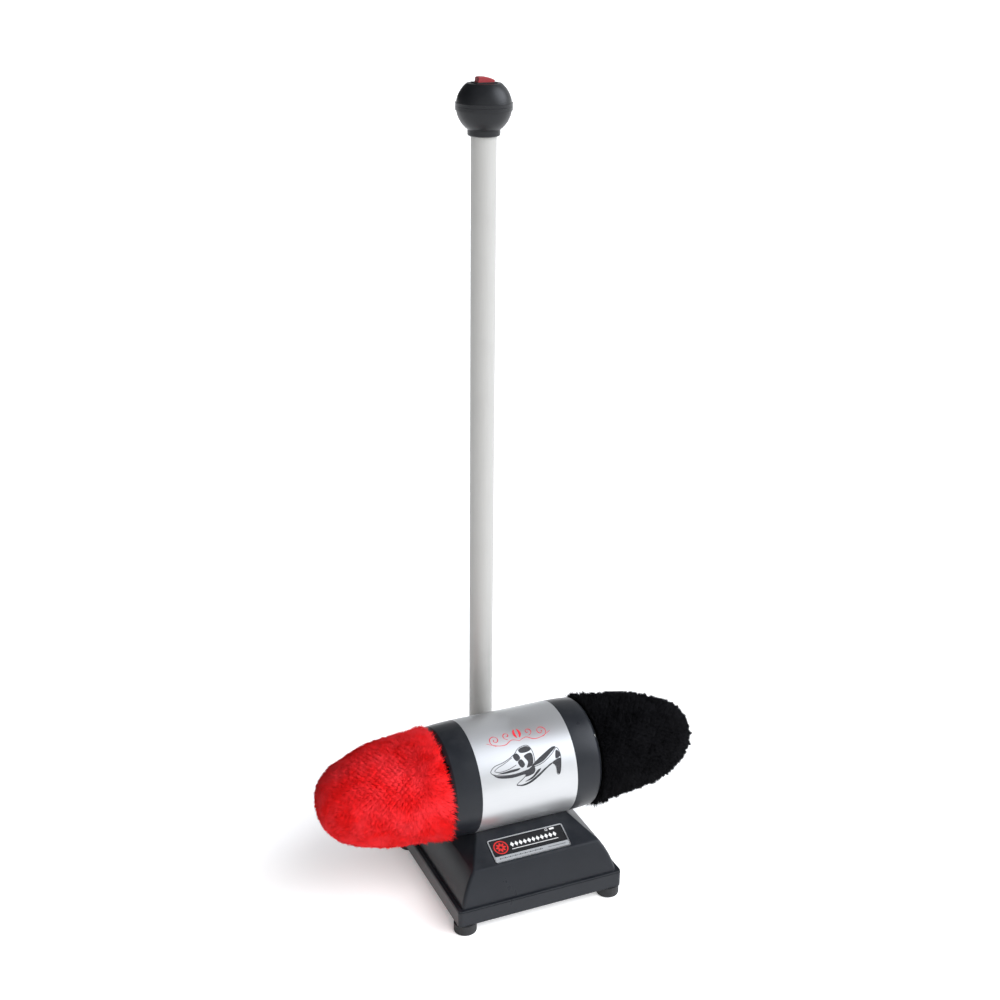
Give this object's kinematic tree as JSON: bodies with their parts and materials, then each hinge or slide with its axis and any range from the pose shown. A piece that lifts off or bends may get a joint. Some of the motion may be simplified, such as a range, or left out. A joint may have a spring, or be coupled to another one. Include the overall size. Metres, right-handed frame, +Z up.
{
  "type": "electric shoe polisher",
  "caption": "Free-standing electric shoe polisher: a motor drum with a wool buffing bonnet on each end, on a sloped base, with an upright pole, ball knob and rocker switch.",
  "frame": {"origin": "on the floor under the middle of the whole object's box, 3.95 mm behind the centre of the square base", "axes": "+X along the motor shaft towards the black bonnet, +Y to the back, where the pole stands, +Z up along the pole"},
  "size_m": [0.428, 0.1948, 0.835],
  "materials": {
    "base_paint": "satin charcoal",
    "bell_paint": "satin charcoal",
    "drum_metal": "satin silver",
    "pole_metal": "satin",
    "knob_plastic": "satin black",
    "switch_black": "fine black",
    "rocker_red": "semi-gloss red",
    "red_wool": "wool pile",
    "black_wool": "wool pile",
    "elastic": "woven",
    "hub_plastic": "moulded black",
    "rubber_black": "matte",
    "plate_metal": "satin",
    "zinc_steel": "zinc plated",
    "cradle_steel": "black primer",
    "lamination": "laminated",
    "winding_copper": "enamelled copper",
    "rotor_aluminium": "cast",
    "bearing_steel": "ground",
    "contact_brass": "bright",
    "block_plastic": "natural",
    "capacitor_case": "white",
    "lead_jacket": "grey sheath"
  },
  "bodies": {
    "base": {"base_tray": "base_paint", "base_cover": "base_paint", "end_bell_left": "bell_paint", "end_bell_right": "bell_paint", "housing_sleeve": "drum_metal", "pole_tube": "pole_metal", "knob_lower": "knob_plastic", "knob_upper": "knob_plastic", "pole_socket": "knob_plastic", "switch_body": "switch_black", "foot_front_left": "rubber_black", "foot_rear_left": "rubber_black", "foot_front_right": "rubber_black", "foot_rear_right": "rubber_black", "cord_grommet": "rubber_black", "nameplate": "plate_metal", "foot_screws": "zinc_steel", "cover_screws": "zinc_steel", "tie_rods": "zinc_steel", "tie_rod_nuts": "zinc_steel", "motor_mount_bolts": "zinc_steel", "cradle_bolts": "zinc_steel", "cradle_nuts": "zinc_steel", "pole_grub_screw": "zinc_steel", "capacitor_clip": "zinc_steel", "motor_cradle": "cradle_steel", "stator_core": "lamination", "stator_winding": "winding_copper", "bearing_outer_ring_left": "bearing_steel", "bearing_outer_ring_right": "bearing_steel", "switch_terminals": "contact_brass", "terminal_screws": "contact_brass", "terminal_block": "block_plastic", "run_capacitor": "capacitor_case", "switch_lead": "lead_jacket"},
    "rotor": {"shaft": "bearing_steel", "rotor_core": "lamination", "rotor_cage": "rotor_aluminium", "bearing_inner_ring_left": "bearing_steel", "bearing_inner_ring_right": "bearing_steel", "hub_left": "hub_plastic", "hub_right": "hub_plastic", "hub_set_screws": "zinc_steel", "bonnet_elastic_left": "elastic", "bonnet_elastic_right": "elastic", "bonnet_red": "red_wool", "bonnet_black": "black_wool"},
    "ball_cage_left": {"bearing_ball_cage_left": "bearing_steel"},
    "ball_cage_right": {"bearing_ball_cage_right": "bearing_steel"},
    "rocker": {"switch_rocker": "rocker_red"}
  },
  "joints": [
    {"name": "rotor_spin", "type": "hinge", "parent": "base", "child": "rotor", "pos_m": [0, -0.00395, 0.1295], "axis": [1, 0, 0], "continuous": true},
    {"name": "ball_cage_left_spin", "type": "hinge", "parent": "base", "child": "ball_cage_left", "pos_m": [-0.069, -0.00395, 0.1295], "axis": [1, 0, 0], "continuous": true},
    {"name": "ball_cage_right_spin", "type": "hinge", "parent": "base", "child": "ball_cage_right", "pos_m": [0.069, -0.00395, 0.1295], "axis": [1, 0, 0], "continuous": true},
    {"name": "switch_rock", "type": "hinge", "parent": "base", "child": "rocker", "pos_m": [0, 0.07005, 0.8275], "axis": [0, -1, 0], "range_deg": [0, 20]}
  ],
  "couplings": [
    {"joint": "ball_cage_left_spin", "follows": "rotor_spin", "ratio": 0.3682},
    {"joint": "ball_cage_right_spin", "follows": "rotor_spin", "ratio": 0.3682}
  ]
}
